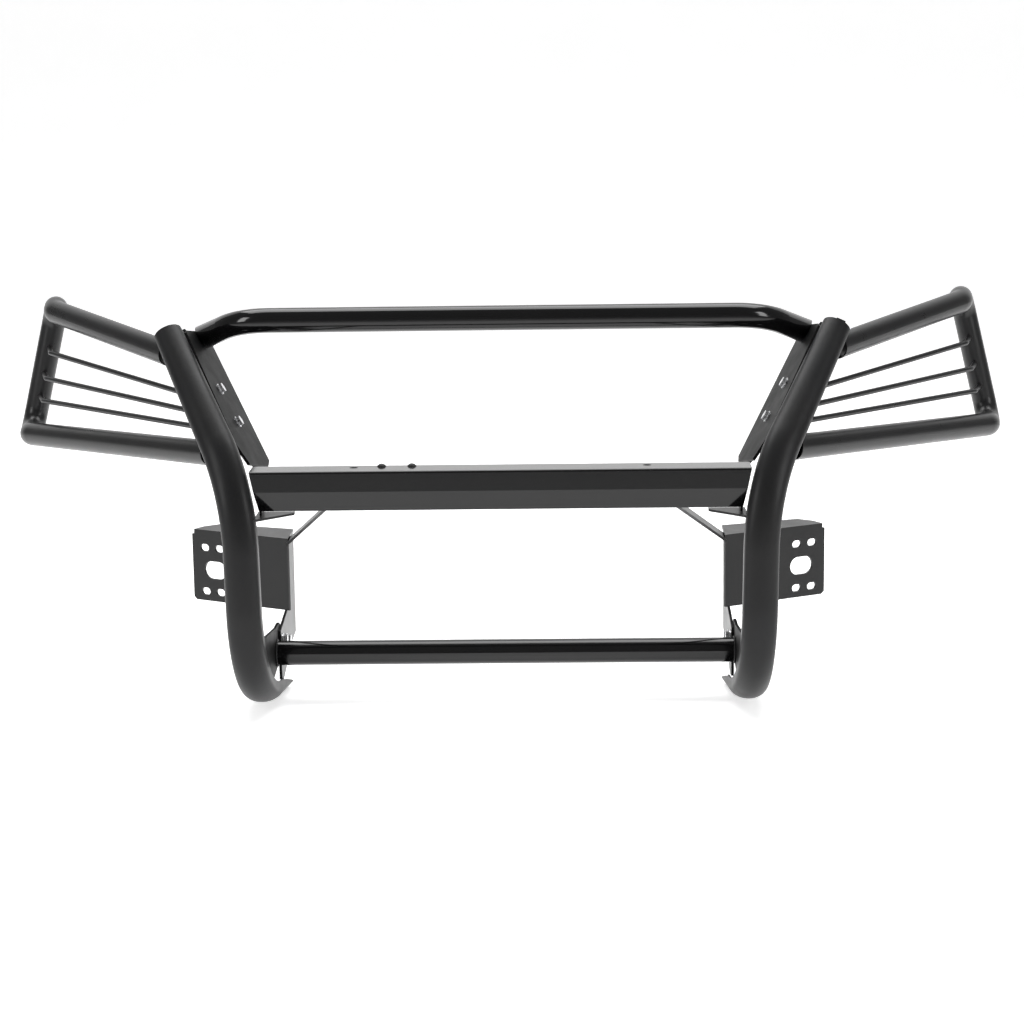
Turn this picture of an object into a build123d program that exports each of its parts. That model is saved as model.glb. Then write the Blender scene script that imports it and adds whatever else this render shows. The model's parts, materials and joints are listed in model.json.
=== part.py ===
from build123d import *
import math
import os

# Front grille guard for a pickup or large SUV, in millimetres, +Z up, front facing -Y.
# Everything is laid out about the middle of the lower crossbar's axis, with +X the right
# side as seen from the front. The finished guard is then moved so that the origin is the
# middle of its footprint, level with its lowest point.

# ---- driving dimensions ----
TUBE_R = 22.2
TUBE_WALL = 2.0
ROD_R = 4.8
SHEET = 3.0
PLATE = 5.0

# upright: crowned channel, open to the rear; its path is the middle of the open side
UPRIGHT_X = 443.0
UPRIGHT_W = 60.0
UPRIGHT_DEPTH = 35.0
UPRIGHT_RISE = 20.0
TOP_TAPER = 0.84
TAIL = Vector(UPRIGHT_X - 22, 92, -50)
KNEE = Vector(UPRIGHT_X - 5, -203, -28)
ELBOW = Vector(UPRIGHT_X + 1, -203, 330)
CREST = Vector(588, 27, 571)
KNEE_R = 170.0
ELBOW_R = 240.0

# lower side plate, carrier arm and frame bracket
SIDE_PLATE_X = UPRIGHT_X - UPRIGHT_W / 2
ARM_BOLTS = [(50, 12), (100, 0)]
ARM_BOLT_R = 6.0
BRACKET_OUT = (597, 240)
BRACKET_IN = (404, 133)
BRACKET_Z = (48, 184)
SLOT_COLUMNS = (28.6, 62.7)
SLOT_ROWS = (66.0, 150.0)
SLOT_SIZE = (20.0, 14.0)
WINDOW_SIZE = (50.0, 34.0)
WINDOW_AT = (52.0, 108.0)

# centre bar: formed channel, open below and behind
BAR_FRONT = -197.0
BAR_REAR = -136.0
BAR_TOP = 364.0
BAR_CREASE = 329.0
BAR_BOTTOM = 294.0
BAR_TUCK = 15.0
BAR_HOLE = (251.0, -157.0)
BAR_HOLE_R = 7.0
PLUGS_X = (-204.0, -152.0)

# top crossbar
TOP_BAR = (462, 20, 600)
TOP_BAR_END = (566, 150, 550)
TOP_BAR_BEND_R = 105.0

# wing mount and upper side plate, in the frame of the leaning part of the upright
PLATE_LEAN = 11.0
WING_BOLTS = [(-110, 54), (-176, 75)]
WING_BOLT_R = 5.0
MOUNT_OUT = 55.0
MOUNT_WEB = 20.0
MOUNT_REAR = 98.0
MOUNT_SPAN = (-268.0, 20.0)

# wing loop and its rods
WING_TOP_CORNER = (865, 370, 585)
WING_TOP_BACK = (873, 438, 600)
WING_LOW_BACK = (934, 438, 347)
WING_LOW_CORNER = (922, 370, 349)
WING_BEND_R = 44.0
ROD_BEND_R = 14.0
RODS = {
    "upper": ((557, -23, 477), (873, 350, 508), (894, 438, 510)),
    "middle": ((539, -52, 449), (884, 350, 459), (907, 438, 460)),
    "lower": ((523, -79, 425), (892, 350, 416), (917, 438, 416)),
}


def leaning_frame():
    """Unit directions of the upright's leaning part: along it, across it, and rearward."""
    along = (CREST - ELBOW).normalized()
    up = Vector(0, 0, 1)
    hinge = up.cross(along).normalized()
    across = Vector(1, 0, 0).rotate(Axis((0, 0, 0), hinge), up.get_angle(along))
    return along, across, along.cross(across)


ALONG, ACROSS, REARWARD = leaning_frame()
LIP_TOP = CREST - ACROSS * (UPRIGHT_W / 2)
PLATE_REARWARD = REARWARD.rotate(Axis((0, 0, 0), ALONG), PLATE_LEAN)


def local(along, across, rearward):
    """A point given from the upright's inner top corner, in the leaning part's frame."""
    return LIP_TOP + ALONG * along + ACROSS * across + REARWARD * rearward


def bent_tube(points, radius, bend_radius, wall=0.0):
    """A round tube, or a rod if it has no wall, along straight runs joined by bends."""
    path = FilletPolyline(*points, radius=bend_radius)
    start = Plane(origin=path @ 0, z_dir=path % 0)
    section = Circle(radius)
    if wall:
        section = section - Circle(radius - wall)
    return sweep(start * section, path=path)


def polygon_plate(plane, points, thickness, corner=0.0):
    """A flat plate of the given outline, rising from the plane by its thickness."""
    outline = make_face(Polyline(*points, close=True))
    if corner:
        outline = fillet(outline.vertices(), corner)
    return extrude(plane * outline, thickness)


def punch(plane, spots, outline, reach):
    """Solids that cut the same opening through a sheet at every spot on its plane."""
    return [extrude(plane * Pos(*spot) * outline, reach, both=True) for spot in spots]


def side_plane(x):
    """The plane at x whose local X and Y are the guard's Y and Z, facing +X."""
    return Plane(origin=(x, 0, 0), x_dir=(0, 1, 0), z_dir=(1, 0, 0))


# ---- uprights ----
def channel_outline(width, wall):
    """Crowned outline, open side on local X; wall is how far it is drawn inwards."""
    half = width / 2 - wall
    shoulder = UPRIGHT_DEPTH - UPRIGHT_RISE
    base = -4.0 if wall else 0.0
    inner = Line((-half, shoulder), (-half, base))
    outer = Line((half, base), (half, shoulder))
    crown = EllipticalCenterArc((0, shoulder), half, UPRIGHT_RISE - wall, arc_size=180)
    return make_face([outer, crown, inner, Line((-half, base), (half, base))])


def channel_section(scale_width=1.0):
    return hull_section(scale_width) - channel_outline(UPRIGHT_W * scale_width, SHEET)


def hull_section(scale_width=1.0):
    return channel_outline(UPRIGHT_W * scale_width, 0.0)


def upright(section):
    """A section swept down the elbow, knee and tail, and narrowing up the leaning part."""
    path = FilletPolyline(CREST, ELBOW, KNEE, TAIL, radius=[ELBOW_R, KNEE_R])
    leaning = path.edges().sort_by(Axis.Z)[-1]
    bent = Wire([edge for edge in path.edges() if edge.center().Z < leaning.center().Z - 1])
    turn = tuple(leaning.vertices().sort_by(Axis.Z)[0])
    lower = sweep(Plane(origin=turn, x_dir=ACROSS, z_dir=-ALONG) * section(), path=bent)
    base = Plane(origin=turn, x_dir=-ACROSS, z_dir=ALONG)
    crest = Plane(origin=CREST, x_dir=-ACROSS, z_dir=ALONG)
    upper = loft([base * section(), crest * section(TOP_TAPER)])
    return tail_cut(lower) + upper


def tail_cut(channel):
    """Cut the tail to a point and taper its flanges away towards the tip."""
    mitre = Plane(origin=TAIL + Vector(-UPRIGHT_W / 2, 0, 0), z_dir=(0.66, 0.75, 0))
    pointed = split(channel, bisect_by=mitre, keep=Keep.BOTTOM)
    y, z = TAIL.Y, TAIL.Z
    wedge = [
        (y - 120, z + 8),
        (y - 120, z + 60),
        (y + 40, z + 60),
        (y + 40, z - 40),
        (y, z - 26),
        (y - 40, z - 13),
        (y - 85, z),
    ]
    return pointed - polygon_plate(side_plane(UPRIGHT_X - UPRIGHT_W), wedge, 2 * UPRIGHT_W)


# ---- lower end: side plates, carrier arms, frame brackets ----
def lower_side_plate(channel):
    outline = [
        (-232, 75),
        (-228, 50),
        (-195, -6),
        (-155, -44),
        (-110, -42),
        (10, -27),
        (118, -30),
        (126, -20),
        (126, 14),
        (112, 24),
        (66, 30),
        (60, 40),
        (46, 46),
        (0, 46),
    ]
    plate = polygon_plate(side_plane(SIDE_PLATE_X), outline, PLATE)
    fitted = (plate - channel).solids().sort_by(SortBy.VOLUME)[-1]
    return fitted - arm_bolt_holes()


def arm_bolt_holes():
    return punch(side_plane(SIDE_PLATE_X), ARM_BOLTS, Circle(ARM_BOLT_R + 0.5), 2 * PLATE)


def bracket_arm(bracket):
    outline = [
        (28, 34),
        (28, -56),
        (60, -60),
        (200, -25),
        (262, -21),
        (266, 160),
        (250, 179),
        (138.5, 179),
        (138.5, 48),
    ]
    plate = polygon_plate(side_plane(SIDE_PLATE_X - PLATE), outline, PLATE)
    return plate - arm_bolt_holes() - bracket


def bracket_plane():
    """Plane on the bracket's front face: local X runs outboard, local Y is up."""
    run = Vector(BRACKET_OUT[0] - BRACKET_IN[0], BRACKET_OUT[1] - BRACKET_IN[1], 0)
    face_normal = Vector(run.Y, -run.X, 0).normalized()
    return Plane(origin=(*BRACKET_OUT, 0), x_dir=run.normalized(), z_dir=face_normal)


def frame_bracket():
    """Yawed sheet with four small slots round a large one, and a flange along its top."""
    width = math.dist(BRACKET_OUT, BRACKET_IN)
    low, high = BRACKET_Z
    outline = [
        (-width, low),
        (-6, low),
        (0, low + 6),
        (0, high - 9),
        (-5, high - 9),
        (-5, high),
        (-width, high),
    ]
    plane = bracket_plane()
    sheet = polygon_plate(plane, outline, -PLATE)
    small = [(-column, row) for column in SLOT_COLUMNS for row in SLOT_ROWS]
    slots = punch(plane, small, SlotOverall(*SLOT_SIZE), 2 * PLATE)
    window = punch(plane, [(-WINDOW_AT[0], WINDOW_AT[1])], SlotOverall(*WINDOW_SIZE), 2 * PLATE)
    return sheet + bracket_flange(width) - slots - window


def bracket_flange(width):
    plane = bracket_plane()
    corners = [(-width - 60, 0), (-5, 0), (-5, -30), (-20, -62), (-width - 60, -98)]
    points = [plane.from_local_coords((x, 0, z)) for x, z in corners]
    outline = [(point.X, point.Y) for point in points]
    top = polygon_plate(Plane.XY.offset(BRACKET_Z[1] - PLATE), outline, PLATE)
    inner_edge = Plane(origin=(BRACKET_IN[0] - 1, 0, 0), z_dir=(1, 0, 0))
    return split(top, bisect_by=inner_edge, keep=Keep.TOP)


def bracket_brace(bar, bracket):
    """Flat bar from the carrier arm up and inboard into the hollow of the centre bar."""
    foot = Vector(411, 180, 166)
    head = Vector(280, -191, 317)
    run = (head - foot).normalized()
    section = Plane(origin=foot, x_dir=run.cross(Vector(0, 1, 0)), z_dir=run) * Rectangle(5, 28)
    strip = extrude(section, (head - foot).length)
    inboard = Plane(origin=(SIDE_PLATE_X - PLATE, 0, 0), z_dir=(1, 0, 0))
    strip = split(strip, bisect_by=inboard, keep=Keep.BOTTOM)
    return (strip - bar - bracket).solids().sort_by(SortBy.VOLUME)[-1]


# ---- crossbars ----
def lower_tube():
    return extrude(side_plane(-SIDE_PLATE_X) * tube_ring(), 2 * SIDE_PLATE_X)


def tube_ring():
    return Circle(TUBE_R) - Circle(TUBE_R - TUBE_WALL)


def centre_bar(hulls):
    outline = [
        (BAR_REAR, BAR_TOP),
        (BAR_FRONT, BAR_TOP),
        (BAR_FRONT, BAR_CREASE),
        (BAR_FRONT + BAR_TUCK, BAR_BOTTOM),
        (BAR_FRONT + BAR_TUCK + SHEET, BAR_BOTTOM),
        (BAR_FRONT + SHEET, BAR_CREASE),
        (BAR_FRONT + SHEET, BAR_TOP - SHEET),
        (BAR_REAR, BAR_TOP - SHEET),
    ]
    bar = polygon_plate(side_plane(-UPRIGHT_X), outline, 2 * UPRIGHT_X)
    along_x = bar.edges().filter_by(Axis.X)
    bar = fillet(along_x.filter_by_position(Axis.Z, BAR_TOP - 0.1, BAR_TOP + 0.1).sort_by(Axis.Y)[0], 4)
    x, y = BAR_HOLE
    holes = Locations((-x, y, BAR_TOP), (x, y, BAR_TOP)) * Cylinder(BAR_HOLE_R, 20)
    stems = Locations(*[(plug, BAR_REAR - 10, BAR_TOP) for plug in PLUGS_X]) * Cylinder(3.2, 20)
    for side in (-1, 1):
        end = Plane(origin=(side * (UPRIGHT_X - 16), 0, BAR_TOP), z_dir=(side, 0, -0.2))
        bar = split(bar, bisect_by=end, keep=Keep.BOTTOM)
    return (bar - hulls).solids().sort_by(SortBy.VOLUME)[-1] - holes - stems


def bar_plugs():
    """Two low domed plugs pressed into the bar's top flange."""
    dome = Sphere(9) & Pos(0, 0, 9) * Box(20, 20, 10)
    plug = Pos(0, 0, -4) * dome + Pos(0, 0, -2.5) * Cylinder(3, 5)
    return [Pos(x, BAR_REAR - 10, BAR_TOP) * plug for x in PLUGS_X]


def bar_gusset(hull):
    """Bent plate tying the bar's end to the upright."""
    end = UPRIGHT_X - UPRIGHT_W / 2
    floor = BAR_BOTTOM - 12
    outline = [(end + 6, -220), (end + 6, -140), (356, -140), (356, -155)]
    shelf = polygon_plate(Plane.XY.offset(floor), outline, 4) - hull
    under = BAR_TOP - SHEET
    web = polygon_plate(side_plane(end - 4), [(-176, floor), (-140, floor), (-140, under), (-176, under)], 4)
    return shelf + web


def top_tube():
    x, y, z = TOP_BAR
    far_x, far_y, far_z = TOP_BAR_END
    points = [(-far_x, far_y, far_z), (-x, y, z), (x, y, z), (far_x, far_y, far_z)]
    tube = bent_tube(points, TUBE_R, TOP_BAR_BEND_R, TUBE_WALL)
    right = side_plate_plane(0)
    left = Plane(
        origin=(-right.origin.X, right.origin.Y, right.origin.Z),
        z_dir=(-right.z_dir.X, right.z_dir.Y, right.z_dir.Z),
    )
    for face in (right, left):
        tube = split(tube, bisect_by=face, keep=Keep.TOP)
    return tube


# ---- upper end: side plates and wing mounts ----
def side_plate_plane(offset):
    """Plane parallel to the upper side plate: local X is up the lean, local Y is rearward."""
    outboard = PLATE_REARWARD.cross(ALONG).normalized()
    return Plane(origin=LIP_TOP + outboard * offset, x_dir=ALONG, z_dir=-outboard)


def wing_bolt_holes():
    return punch(side_plate_plane(PLATE), WING_BOLTS, Circle(WING_BOLT_R + 0.5), 2 * PLATE)


def upper_side_plate(channel):
    outline = [
        (-4, 0),
        (-268, 0),
        (-296, 34),
        (-235, 156),
        (-208, 181),
        (56, 144),
        (66, 134),
        (54, 90),
        (6, 10),
    ]
    return polygon_plate(side_plate_plane(PLATE), outline, PLATE) - wing_bolt_holes() - channel


def lean_plane(along):
    """Plane across the leaning part: local X is outboard, local Y is rearward."""
    return Plane(origin=LIP_TOP + ALONG * along, x_dir=ACROSS, z_dir=ALONG)


def side_plate_face(rearward, offset):
    """How far outboard the side plate's outer face lies, plus an offset."""
    slope = math.radians(PLATE_LEAN)
    return (PLATE + offset) / math.cos(slope) - math.tan(slope) * rearward


def wing_mount():
    """Folded plate behind the upright: bolted flange, web and a flange for the wing tubes."""
    low, high = MOUNT_SPAN
    web, rear = MOUNT_WEB, MOUNT_REAR
    outer = MOUNT_OUT
    profile = [
        (side_plate_face(web, 0), web),
        (outer - PLATE, web),
        (outer - PLATE, 6),
        (outer, 6),
        (outer, rear),
        (outer - PLATE, rear),
        (outer - PLATE, web + PLATE),
        (side_plate_face(web + PLATE, PLATE), web + PLATE),
        (side_plate_face(rear, PLATE), rear),
        (side_plate_face(rear, 0), rear),
    ]
    mount = polygon_plate(lean_plane(low), profile, high - low)
    ear = [(17, 0), (outer - 8, 0), (outer - 14, 23), (25, 23)]
    face = Plane(origin=LIP_TOP + ALONG * high + REARWARD * web, x_dir=ACROSS, z_dir=-REARWARD)
    mount += polygon_plate(face, ear, -PLATE)
    return mount - wing_bolt_holes()


# ---- wings ----
def wing_loop(wall):
    points = [
        local(-9, 45, 30),
        WING_TOP_CORNER,
        WING_TOP_BACK,
        WING_LOW_BACK,
        WING_LOW_CORNER,
        local(-236, 48, 40),
    ]
    return bent_tube(points, TUBE_R, WING_BEND_R, wall)


def trim_wing(shape, channel):
    """Keep what lies outboard of the wing mount and clear of the upright."""
    face = Plane(origin=LIP_TOP + ACROSS * MOUNT_OUT, z_dir=ACROSS)
    outside = split(shape, bisect_by=face, keep=Keep.TOP)
    return (outside - channel).solids().sort_by(SortBy.VOLUME)[-1]


def wing_rod(name, loop, channel):
    rod = bent_tube(RODS[name], ROD_R, ROD_BEND_R)
    return trim_wing(rod - loop, channel)


# ---- fasteners ----
def hexagon(across_flats):
    return RegularPolygon(across_flats / 2, 6, major_radius=False)


def bolt(radius, shank):
    """Head above the bearing face at Z = 0, shank below it."""
    head = extrude(hexagon(3.2 * radius), 1.25 * radius)
    return head + Pos(0, 0, -shank / 2) * Cylinder(radius, shank)


def washer(radius):
    return Pos(0, 0, -1) * (Cylinder(2.1 * radius, 2) - Cylinder(radius + 0.3, 2))


def nut(radius):
    return extrude(hexagon(3.2 * radius) - Circle(radius + 0.05), -1.6 * radius)


def fasteners(start, spots, radius, grip):
    """Bolts, nuts and washers set on a plane whose Z points towards the bolt heads."""
    head_face = start.offset(2)
    nut_face = start.offset(-grip)
    places = [Pos(*spot) for spot in spots]
    shank = grip + 2 + 1.6 * radius + 3
    bolts = [head_face * place * bolt(radius, shank) for place in places]
    washers = [head_face * place * washer(radius) for place in places]
    nuts = [nut_face * place * nut(radius) for place in places]
    return bolts, nuts, washers


# ---- assembly ----
def right_side(bar, hull):
    channel = upright(channel_section)
    bracket = frame_bracket()
    loop = wing_loop(0)
    parts = {
        "upright": [channel],
        "upper_side_plate": [upper_side_plate(channel)],
        "lower_side_plate": [lower_side_plate(channel)],
        "wing_mount": [wing_mount()],
        "wing_loop": [trim_wing(wing_loop(TUBE_WALL), channel)],
        "bar_gusset": [bar_gusset(hull)],
        "bracket_arm": [bracket_arm(bracket)],
        "frame_bracket": [bracket],
        "bracket_brace": [bracket_brace(bar, bracket)],
    }
    for name in RODS:
        parts["wing_rod_" + name] = [wing_rod(name, loop, channel)]
    inner = Plane(origin=(SIDE_PLATE_X - PLATE, 0, 0), x_dir=(0, 1, 0), z_dir=(-1, 0, 0))
    arm_spots = [(y, -z) for y, z in ARM_BOLTS]
    sets = {
        "arm": fasteners(inner, arm_spots, ARM_BOLT_R, 2 * PLATE),
        "wing": fasteners(side_plate_plane(0), WING_BOLTS, WING_BOLT_R, 2 * PLATE),
    }
    for name, groups in sets.items():
        for kind, solids in zip(("bolts", "nuts", "washers"), groups):
            parts[name + "_" + kind] = solids
    return parts


def whole_guard():
    hull = upright(hull_section)
    bar = centre_bar([hull, mirror(hull, about=Plane.YZ)])
    parts = {
        "centre_bar": [bar],
        "lower_tube": [lower_tube()],
        "top_tube": [top_tube()],
        "bar_plugs": bar_plugs(),
    }
    for name, solids in right_side(bar, hull).items():
        parts["right_" + name] = solids
        parts["left_" + name] = [mirror(solid, about=Plane.YZ) for solid in solids]
    return parts


def export(parts):
    """Move the guard onto its footprint's middle and write one file per node."""
    boxes = [solid.bounding_box() for solids in parts.values() for solid in solids]
    front = min(box.min.Y for box in boxes)
    rear = max(box.max.Y for box in boxes)
    shift = Pos(0, -(front + rear) / 2, -min(box.min.Z for box in boxes))
    os.makedirs("parts", exist_ok=True)
    for name, solids in parts.items():
        moved = [shift * solid for solid in solids]
        shape = moved[0] if len(moved) == 1 else Compound(children=moved)
        export_step(shape, "parts/" + name + ".step")


export(whole_guard())
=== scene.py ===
import json
import math

import bmesh
import bpy
from mathutils import Matrix, Vector


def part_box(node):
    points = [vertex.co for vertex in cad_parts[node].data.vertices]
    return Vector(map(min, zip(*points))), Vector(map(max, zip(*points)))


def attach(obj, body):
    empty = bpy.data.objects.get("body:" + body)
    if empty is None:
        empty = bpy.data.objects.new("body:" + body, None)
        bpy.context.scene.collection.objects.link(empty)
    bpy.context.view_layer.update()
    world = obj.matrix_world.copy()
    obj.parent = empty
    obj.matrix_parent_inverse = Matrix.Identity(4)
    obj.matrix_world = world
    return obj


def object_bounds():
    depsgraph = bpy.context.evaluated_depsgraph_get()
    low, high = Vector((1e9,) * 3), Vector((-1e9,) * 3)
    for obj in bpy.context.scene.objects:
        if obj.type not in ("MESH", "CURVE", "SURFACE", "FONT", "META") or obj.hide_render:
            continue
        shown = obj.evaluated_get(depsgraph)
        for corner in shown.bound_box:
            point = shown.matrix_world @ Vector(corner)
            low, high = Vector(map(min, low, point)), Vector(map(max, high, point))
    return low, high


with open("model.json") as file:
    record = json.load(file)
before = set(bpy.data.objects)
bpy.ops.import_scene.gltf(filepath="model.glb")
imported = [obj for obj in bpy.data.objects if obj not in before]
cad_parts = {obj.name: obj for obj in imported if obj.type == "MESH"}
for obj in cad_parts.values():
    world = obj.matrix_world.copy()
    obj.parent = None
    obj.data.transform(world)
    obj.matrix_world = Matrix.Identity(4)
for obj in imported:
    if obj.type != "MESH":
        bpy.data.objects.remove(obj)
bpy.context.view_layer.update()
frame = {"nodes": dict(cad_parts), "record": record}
nodes = frame["nodes"]


# ---- node helpers ----
class Graph:
    """Short calls for building one material's node graph."""

    def __init__(self, name):
        self.material = bpy.data.materials.new(name)
        self.material.use_nodes = True
        self.tree = self.material.node_tree
        self.shader = self.tree.nodes["Principled BSDF"]
        self.place = self.tree.nodes.new("ShaderNodeTexCoord").outputs["Object"]

    def link(self, source, target):
        self.tree.links.new(source, target)

    def noise(self, scale, detail=4.0, roughness=0.55, stretch=(1, 1, 1)):
        spread = self.tree.nodes.new("ShaderNodeMapping")
        spread.inputs["Scale"].default_value = stretch
        self.link(self.place, spread.inputs["Vector"])
        texture = self.tree.nodes.new("ShaderNodeTexNoise")
        texture.inputs["Scale"].default_value = scale
        texture.inputs["Detail"].default_value = detail
        texture.inputs["Roughness"].default_value = roughness
        self.link(spread.outputs["Vector"], texture.inputs["Vector"])
        return texture.outputs["Fac"]

    def cells(self, scale):
        texture = self.tree.nodes.new("ShaderNodeTexVoronoi")
        texture.feature = "SMOOTH_F1"
        texture.inputs["Scale"].default_value = scale
        self.link(self.place, texture.inputs["Vector"])
        return texture.outputs["Distance"]

    def ramp(self, source, low, high, start=0.3, end=0.7):
        """Map a pattern between two grey levels or colours."""
        ramp = self.tree.nodes.new("ShaderNodeValToRGB")
        ramp.color_ramp.elements[0].position = start
        ramp.color_ramp.elements[1].position = end
        ramp.color_ramp.elements[0].color = colour(low)
        ramp.color_ramp.elements[1].color = colour(high)
        self.link(source, ramp.inputs["Fac"])
        return ramp.outputs["Color"]

    def math(self, operation, first, second):
        node = self.tree.nodes.new("ShaderNodeMath")
        node.operation = operation
        for socket, value in zip(node.inputs, (first, second)):
            if isinstance(value, float):
                socket.default_value = value
            else:
                self.link(value, socket)
        return node.outputs["Value"]

    def bump(self, layers):
        """Chain height patterns, each given as (source, strength, distance in metres)."""
        normal = None
        for source, strength, distance in layers:
            node = self.tree.nodes.new("ShaderNodeBump")
            node.inputs["Strength"].default_value = strength
            node.inputs["Distance"].default_value = distance
            self.link(source, node.inputs["Height"])
            if normal is not None:
                self.link(normal, node.inputs["Normal"])
            normal = node.outputs["Normal"]
        self.link(normal, self.shader.inputs["Normal"])


def colour(value):
    if isinstance(value, (int, float)):
        return (value, value, value, 1.0)
    return (*value, 1.0)


# ---- materials ----
def powder_coat(name, tone, gloss, peel, grain=0.2, shine=0.3, coat=0.0):
    """Black powder coat: slight tone drift, orange peel, fine grain and a little dust."""
    g = Graph(name)
    drift = g.noise(7.0, detail=3.0)
    warm = (tone[0] * 1.12, tone[1] * 1.1, tone[2] * 1.06)
    cool = (tone[0] * 0.9, tone[1] * 0.91, tone[2] * 0.94)
    g.link(g.ramp(drift, cool, warm), g.shader.inputs["Base Color"])
    smudge = g.noise(16.0, detail=5.0, roughness=0.6)
    speck = g.noise(900.0, detail=2.0)
    blend = g.math("ADD", g.math("MULTIPLY", smudge, 0.75), g.math("MULTIPLY", speck, 0.25))
    rough = g.ramp(blend, gloss * 0.86, gloss * 1.16)
    g.link(rough, g.shader.inputs["Roughness"])
    g.bump([(g.noise(260.0, detail=2.0), peel, 0.0004), (g.cells(1400.0), grain, 0.0001)])
    g.shader.inputs["Specular IOR Level"].default_value = shine
    if coat:
        g.shader.inputs["Coat Weight"].default_value = coat
        g.shader.inputs["Coat Roughness"].default_value = 0.05
    return g.material


def zinc_plate(name):
    """Bright zinc on fasteners: cloudy tone, brushed turning marks and small pits."""
    g = Graph(name)
    g.shader.inputs["Metallic"].default_value = 1.0
    cloud = g.noise(120.0, detail=3.0)
    g.link(g.ramp(cloud, (0.72, 0.73, 0.75), (0.93, 0.93, 0.94)), g.shader.inputs["Base Color"])
    g.link(g.ramp(g.noise(400.0), 0.2, 0.36), g.shader.inputs["Roughness"])
    brushed = g.noise(700.0, stretch=(1.0, 1.0, 9.0))
    g.bump([(brushed, 0.25, 0.0002), (g.cells(900.0), 0.1, 0.0001)])
    return g.material


def studio_paper(name, glow):
    """Pale studio paper with the faintest mottling, and a little light of its own."""
    g = Graph(name)
    g.link(g.ramp(g.noise(3.0), 0.93, 0.95), g.shader.inputs["Base Color"])
    g.link(g.ramp(g.noise(9.0), 0.85, 0.95), g.shader.inputs["Roughness"])
    g.bump([(g.noise(60.0), 0.02, 0.0005)])
    g.shader.inputs["Specular IOR Level"].default_value = 0.1
    g.shader.inputs["Emission Color"].default_value = (1, 1, 1, 1)
    g.shader.inputs["Emission Strength"].default_value = glow
    return g.material


MATERIALS = {
    "satin_black": powder_coat("satin_black", (0.0125, 0.0125, 0.0132), 0.4, 0.16, shine=0.26),
    "gloss_black": powder_coat(
        "gloss_black", (0.0045, 0.0045, 0.0048), 0.12, 0.05, grain=0.04, shine=0.4, coat=0.15
    ),
    "wing_black": powder_coat("wing_black", (0.0125, 0.0125, 0.013), 0.3, 0.14, shine=0.42),
    "plate_black": powder_coat("plate_black", (0.0125, 0.0125, 0.013), 0.34, 0.2, shine=0.34),
    "plug_black": powder_coat("plug_black", (0.015, 0.015, 0.015), 0.4, 0.2),
    "zinc_hardware": zinc_plate("zinc_hardware"),
    # A darker, duller copy of the plate black: painted shade for the plates tucked in between
    # other parts.
    "painted_shade_black": powder_coat("painted_shade_black", (0.005, 0.005, 0.0052), 0.5, 0.15, shine=0.1),
}


# Nodes that get the darker black as painted shade, where they sit in shade between other parts.
PAINTED_SHADE_NODES = ("upper_side_plate", "lower_side_plate", "wing_mount")


def dress_nodes():
    """Give every CAD node its slot's material, and the tucked-in plates a darker black that
    paints their shade.
    """
    slots = {row["node"]: row["material_slot"] for row in frame["record"]["subparts"]}
    for name, node in nodes.items():
        node.data.materials.clear()
        in_painted_shade = name.endswith(PAINTED_SHADE_NODES)
        node.data.materials.append(MATERIALS["painted_shade_black" if in_painted_shade else slots[name]])


# ---- weld beads, in metres ----
WELD_RADIUS = 0.002
WELD_RIPPLE = 0.16
WELD_POINTS = 96
WELD_INSET = 0.0015
WELD_LIFT = 0.0005


def bead(name, ring, radius, slot):
    """A rippled fillet weld laid round a closed ring of points, as a tube whose width varies."""
    curve = bpy.data.curves.new(name, "CURVE")
    curve.dimensions = "3D"
    curve.bevel_depth = radius
    curve.bevel_resolution = 3
    spline = curve.splines.new("POLY")
    spline.points.add(len(ring) - 1)
    for index, (point, place) in enumerate(zip(spline.points, ring)):
        point.co = (*place, 1.0)
        point.radius = 1.0 + WELD_RIPPLE * math.sin(index * math.pi / 2)
    spline.use_cyclic_u = True
    curve.materials.append(MATERIALS[slot])
    obj = bpy.data.objects.new(name, curve)
    bpy.context.scene.collection.objects.link(obj)
    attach(obj, "root")


def circle_ring(centre, across, up, radius, count):
    turns = [2 * math.pi * index / count for index in range(count)]
    return [centre + (across * math.cos(t) + up * math.sin(t)) * radius for t in turns]


def lower_tube_welds():
    """A bead round each end of the lower crossbar, where it meets its side plate."""
    low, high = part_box("lower_tube")
    centre = (low + high) / 2
    radius = (high.z - low.z) / 2
    for name, x in (("left", low.x + WELD_INSET), ("right", high.x - WELD_INSET)):
        middle = Vector((x, centre.y, centre.z))
        across, up = Vector((0, 1, 0)), Vector((0, 0, 1))
        ring = circle_ring(middle, across, up, radius + WELD_LIFT, WELD_POINTS)
        bead(name + "_lower_tube_weld", ring, WELD_RADIUS, "satin_black")


# ---- studio, in metres ----
FLOOR_HALF_WIDTH = 14.0
FLOOR_NEAR = -14.0
FLOOR_GAP = 0.001
CURVE_FROM = 6.0
CURVE_RADIUS = 4.0
CURVE_STEPS = 12
BACKDROP_TOP = 14.0
# In front of this line the floor gives no light of its own.
LIT_FROM = -1.75


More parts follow.
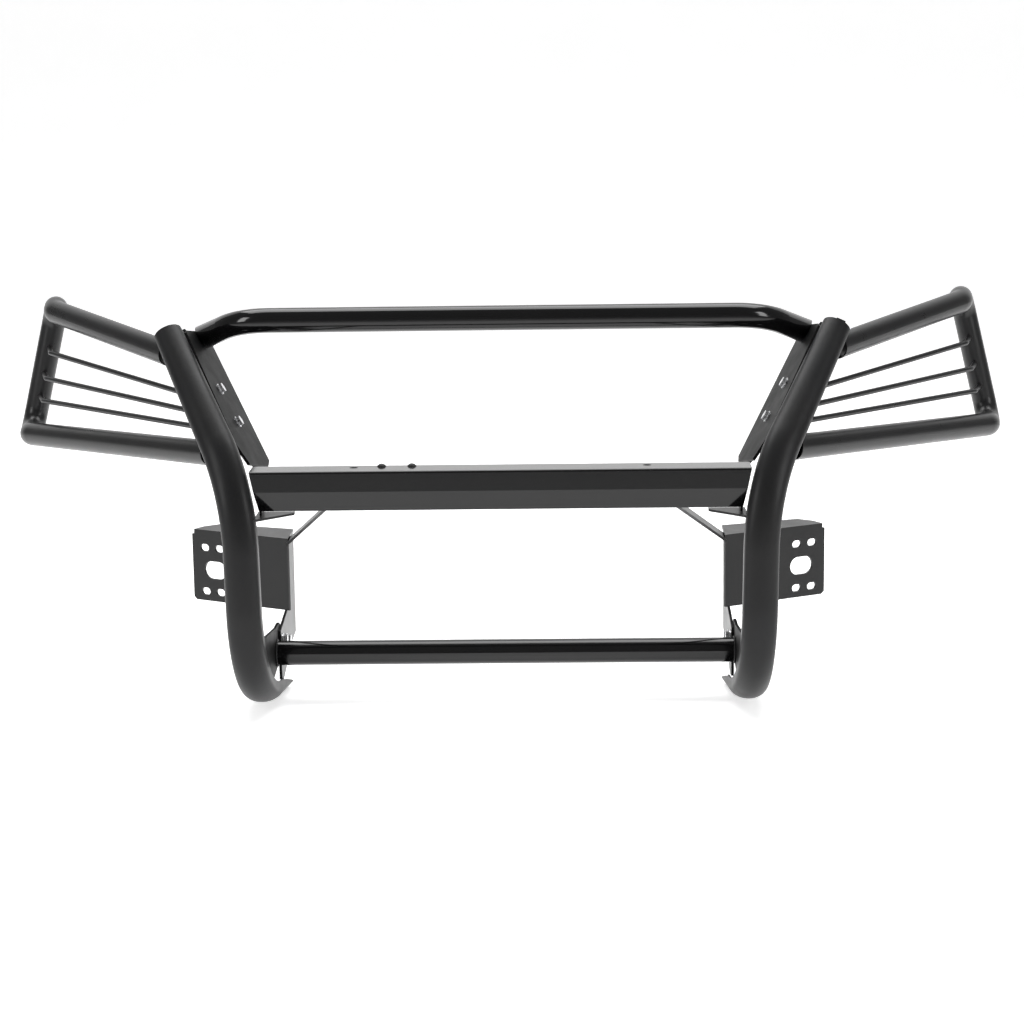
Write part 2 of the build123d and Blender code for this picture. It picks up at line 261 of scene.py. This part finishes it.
def make_floor():
    """A pale sweep: flat under the guard, curving up to a backdrop far behind it."""
    low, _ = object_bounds()
    profile = [(FLOOR_NEAR, 0.0), (LIT_FROM, 0.0), (CURVE_FROM, 0.0)]
    for step in range(1, CURVE_STEPS + 1):
        turn = math.radians(step * 90 / CURVE_STEPS)
        y = CURVE_FROM + CURVE_RADIUS * math.sin(turn)
        profile.append((y, CURVE_RADIUS * (1 - math.cos(turn))))
    profile.append((CURVE_FROM + CURVE_RADIUS, BACKDROP_TOP))
    rows = []
    mesh = bmesh.new()
    for y, z in profile:
        rows.append([mesh.verts.new((x, y, z)) for x in (-FLOOR_HALF_WIDTH, FLOOR_HALF_WIDTH)])
    for index, (near, far) in enumerate(zip(rows, rows[1:])):
        face = mesh.faces.new((near[0], near[1], far[1], far[0]))
        face.smooth = True
        face.material_index = min(index, 1)
    data = bpy.data.meshes.new("studio_floor")
    mesh.to_mesh(data)
    mesh.free()
    floor = bpy.data.objects.new("studio_floor", data)
    floor.location = (0, 0, low.z - FLOOR_GAP)
    data.materials.append(studio_paper("studio_front", 0.0))
    data.materials.append(studio_paper("studio_sweep", 0.6))
    bpy.context.scene.collection.objects.link(floor)


def soft_light(name, size, power, place, target):
    light = bpy.data.lights.new(name, "AREA")
    light.shape = "RECTANGLE"
    light.size, light.size_y = size
    light.energy = power
    lamp = bpy.data.objects.new(name, light)
    lamp.location = place
    lamp.rotation_euler = (Vector(target) - Vector(place)).to_track_quat("-Z", "Y").to_euler()
    bpy.context.scene.collection.objects.link(lamp)


def make_lights():
    world = bpy.data.worlds.new("studio")
    bpy.context.scene.world = world
    world.use_nodes = True
    world.node_tree.nodes["Background"].inputs["Color"].default_value = (1, 1, 1, 1)
    world.node_tree.nodes["Background"].inputs["Strength"].default_value = 0.2
    soft_light("overhead", (4.0, 2.2), 120.0, (0, 0.9, 3.4), (0, 0.1, 0.3))
    soft_light("left_key", (0.9, 2.2), 40.0, (-3.4, -2.2, 2.0), (0, 0, 0.4))
    soft_light("right_key", (0.9, 2.2), 40.0, (3.4, -2.2, 2.0), (0, 0, 0.4))
    bpy.context.scene.view_settings.view_transform = "Standard"


# ---- camera: its place in metres from the middle of the lower crossbar, and degrees ----
CAMERA_PLACE = (0.1183, -4.2039, 1.0390)
TUBE_AXIS = (0.0, -0.1111, 0.08312)
YAW, PITCH, ROLL = 1.405, 10.56, -0.79
LENS = 84.375


def make_camera():
    """The view from the front, slightly above and to the right of the middle."""
    yaw, pitch, roll = (math.radians(angle) for angle in (YAW, PITCH, ROLL))
    level = (-math.sin(yaw) * math.cos(pitch), math.cos(yaw) * math.cos(pitch), -math.sin(pitch))
    forward = Vector(level)
    right = Vector((math.cos(yaw), math.sin(yaw), 0))
    up = right.cross(forward)
    tilt = right * math.cos(roll) + up * math.sin(roll)
    rise = up * math.cos(roll) - right * math.sin(roll)
    data = bpy.data.cameras.new("camera")
    data.lens = LENS
    data.clip_end = 100
    camera = bpy.data.objects.new("camera", data)
    turn = Matrix((tilt, rise, -forward)).transposed().to_4x4()
    camera.matrix_world = Matrix.Translation(Vector(CAMERA_PLACE) + Vector(TUBE_AXIS)) @ turn
    bpy.context.scene.collection.objects.link(camera)
    bpy.context.scene.camera = camera


dress_nodes()
lower_tube_welds()
make_floor()
make_lights()
make_camera()
